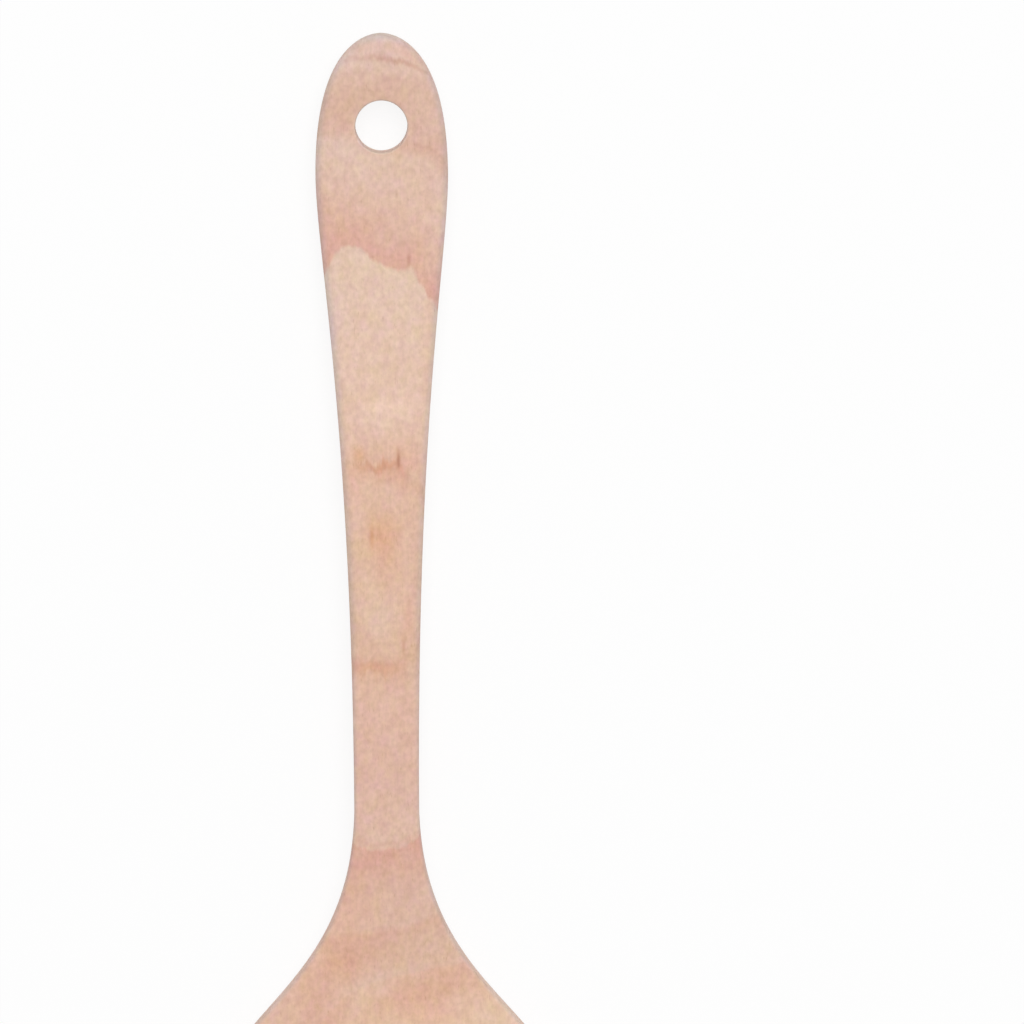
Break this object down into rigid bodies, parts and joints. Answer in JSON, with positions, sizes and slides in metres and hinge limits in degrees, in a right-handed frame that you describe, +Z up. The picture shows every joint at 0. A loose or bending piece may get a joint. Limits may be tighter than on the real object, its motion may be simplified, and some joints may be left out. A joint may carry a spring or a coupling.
{
  "type": "wooden spatula",
  "caption": "One-piece wooden kitchen spatula with a flat thin-edged blade, a slim waisted handle and a hanging hole.",
  "frame": {"origin": "under the middle of the spatula's length and width, on the surface that its flat back lies on", "axes": "+Y along the handle towards its tip, -Y towards the working edge, +X to the right seen from the front, +Z up out of the front face"},
  "size_m": [0.078, 0.3, 0.01],
  "materials": {
    "wood": "sanded, bare, pale pinkish beech"
  },
  "bodies": {
    "root": {"spatula": "wood"}
  },
  "joints": []
}
